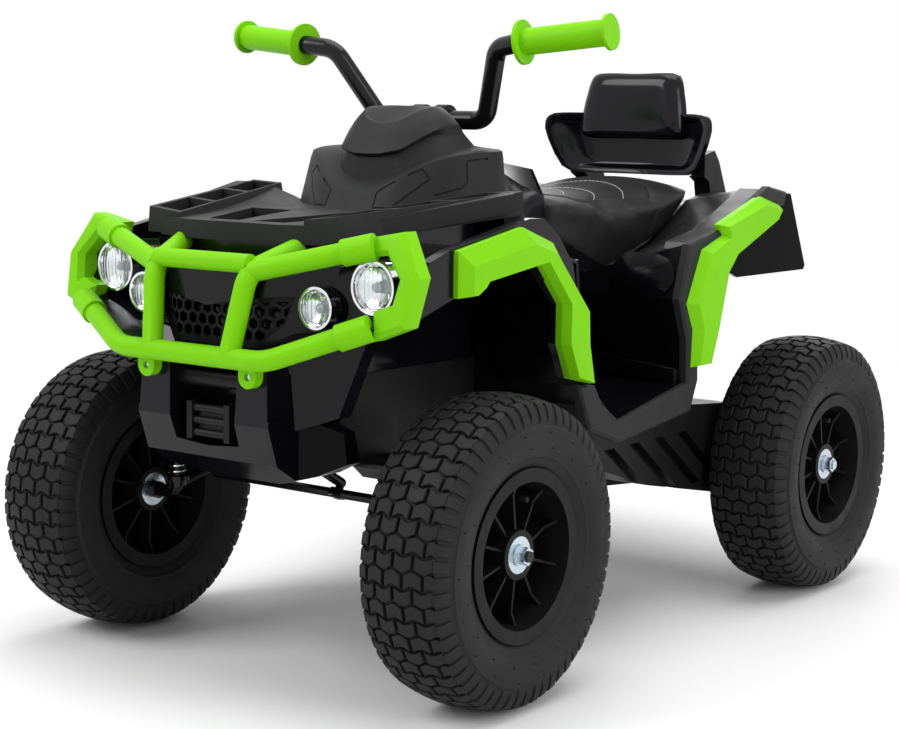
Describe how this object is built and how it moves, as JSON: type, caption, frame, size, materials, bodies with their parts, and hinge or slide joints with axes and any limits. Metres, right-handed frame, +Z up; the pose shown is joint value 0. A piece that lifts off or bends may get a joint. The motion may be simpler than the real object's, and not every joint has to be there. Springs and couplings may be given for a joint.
{
  "type": "kids quad bike",
  "caption": "Ride-on quad bike with air tyres, linked front steering on sprung kingpins, bull bar, flared fenders, padded seat with backrest and a raised handlebar.",
  "frame": {"origin": "centre of the bounding box on the ground", "axes": "+Z up, -Y to the front, +X to the rider's left"},
  "size_m": [0.642, 1.039, 0.7235],
  "materials": {
    "lime_plastic": "satin",
    "gloss_black": "gloss",
    "satin_grey": "fine texture",
    "satin_black": "satin",
    "tyre_rubber": "matte",
    "rim_plastic": "satin",
    "black_paint": "gloss",
    "zinc": "zinc plated",
    "chrome": "polished",
    "lens": "clear",
    "leatherette": "fine grain",
    "bush_plastic": "plain",
    "battery_case": "plain",
    "motor_can": "plain",
    "red_plastic": "gloss"
  },
  "bodies": {
    "chassis": {"chassis_tub": "satin_black", "front_axle_beam": "black_paint", "steering_bushes": "bush_plastic", "gearboxes": "satin_black", "drive_motors": "motor_can", "battery": "battery_case", "front_fascia": "satin_black", "winch_fairlead": "satin_black", "grille": "satin_black", "nose_panel": "gloss_black", "headlight_bezels": "chrome", "headlight_lenses": "lens", "bull_bar": "lime_plastic", "front_body": "gloss_black", "front_deck": "satin_grey", "steering_cowl": "satin_grey", "tank_cover": "gloss_black", "footwell_tub": "gloss_black", "footwell_frames": "satin_grey", "front_flare_left": "lime_plastic", "front_flare_right": "lime_plastic", "rear_flare_left": "lime_plastic", "rear_flare_right": "lime_plastic", "rear_body": "gloss_black", "seat_pad": "leatherette", "backrest_shell": "gloss_black", "backrest_pad": "gloss_black", "backrest_posts": "satin_black", "rear_axle": "zinc", "axle_nuts_rear": "zinc"},
    "steering": {"steering_column": "black_paint", "handlebar": "black_paint", "handlebar_clamps": "black_paint", "grip_left": "lime_plastic", "grip_right": "lime_plastic"},
    "track_rod": {"tie_rod": "black_paint"},
    "strut_left": {"spring_perch_left": "black_paint", "front_spring_left": "chrome"},
    "knuckle_left": {"spindle_left": "black_paint", "axle_nut_front_left": "zinc"},
    "strut_right": {"spring_perch_right": "black_paint", "front_spring_right": "chrome"},
    "knuckle_right": {"spindle_right": "black_paint", "axle_nut_front_right": "zinc"},
    "wheel_front_left": {"tyre_front_left": "tyre_rubber", "rim_front_left": "rim_plastic", "bearings_front_left": "zinc"},
    "wheel_front_right": {"tyre_front_right": "tyre_rubber", "rim_front_right": "rim_plastic", "bearings_front_right": "zinc"},
    "wheel_rear_left": {"tyre_rear_left": "tyre_rubber", "rim_rear_left": "rim_plastic", "bearings_rear_left": "zinc"},
    "wheel_rear_right": {"tyre_rear_right": "tyre_rubber", "rim_rear_right": "rim_plastic", "bearings_rear_right": "zinc"},
    "pedal": {"throttle_pedal": "satin_black"},
    "button": {"power_button": "red_plastic"},
    "rocker": {"direction_switch": "satin_black"}
  },
  "joints": [
    {"name": "steer", "type": "hinge", "parent": "chassis", "child": "steering", "pos_m": [0, -0.32866, 0.2129], "axis": [0, 0.5, 0.866], "range_deg": [-25, 25]},
    {"name": "tie_rod_pivot", "type": "hinge", "parent": "steering", "child": "track_rod", "pos_m": [0, -0.2715, 0.1799], "axis": [0, 0.5, 0.866], "range_deg": [-25, 25]},
    {"name": "suspension_left", "type": "slide", "parent": "chassis", "child": "strut_left", "axis": [0, 0, 1], "range_m": [0, 0.012], "stiffness_N_per_m": 8000, "springref_m": -0.03, "deforming": ["front_spring_left"]},
    {"name": "kingpin_left", "type": "hinge", "parent": "strut_left", "child": "knuckle_left", "pos_m": [0.19, -0.3375, 0.165], "axis": [0, 0, 1], "range_deg": [-25, 25]},
    {"name": "wheel_spin_front_left", "type": "hinge", "parent": "knuckle_left", "child": "wheel_front_left", "pos_m": [0.266, -0.3375, 0.165], "axis": [1, 0, 0], "continuous": true},
    {"name": "wheel_spin_rear_left", "type": "hinge", "parent": "chassis", "child": "wheel_rear_left", "pos_m": [0.266, 0.3545, 0.165], "axis": [1, 0, 0], "continuous": true},
    {"name": "suspension_right", "type": "slide", "parent": "chassis", "child": "strut_right", "axis": [0, 0, 1], "range_m": [0, 0.012], "stiffness_N_per_m": 8000, "springref_m": -0.03, "deforming": ["front_spring_right"]},
    {"name": "kingpin_right", "type": "hinge", "parent": "strut_right", "child": "knuckle_right", "pos_m": [-0.19, -0.3375, 0.165], "axis": [0, 0, 1], "range_deg": [-25, 25]},
    {"name": "wheel_spin_front_right", "type": "hinge", "parent": "knuckle_right", "child": "wheel_front_right", "pos_m": [-0.266, -0.3375, 0.165], "axis": [1, 0, 0], "continuous": true},
    {"name": "wheel_spin_rear_right", "type": "hinge", "parent": "chassis", "child": "wheel_rear_right", "pos_m": [-0.266, 0.3545, 0.165], "axis": [1, 0, 0], "continuous": true},
    {"name": "throttle", "type": "hinge", "parent": "chassis", "child": "pedal", "pos_m": [-0.17, -0.0275, 0.28424], "axis": [1, 0, 0], "range_deg": [0, 6], "stiffness_Nm_per_rad": 2, "springref_deg": -14.32},
    {"name": "power_press", "type": "slide", "parent": "chassis", "child": "button", "axis": [0, 0, -1], "range_m": [0, 0.003], "stiffness_N_per_m": 400, "springref_m": -0.004},
    {"name": "direction_rock", "type": "hinge", "parent": "chassis", "child": "rocker", "pos_m": [0.024, -0.0675, 0.565], "axis": [0, 1, 0], "range_deg": [-5, 5]}
  ],
  "couplings": [
    {"joint": "tie_rod_pivot", "follows": "steer", "ratio": -1},
    {"joint": "kingpin_left", "follows": "steer", "ratio": 1},
    {"joint": "kingpin_right", "follows": "steer", "ratio": 1}
  ]
}
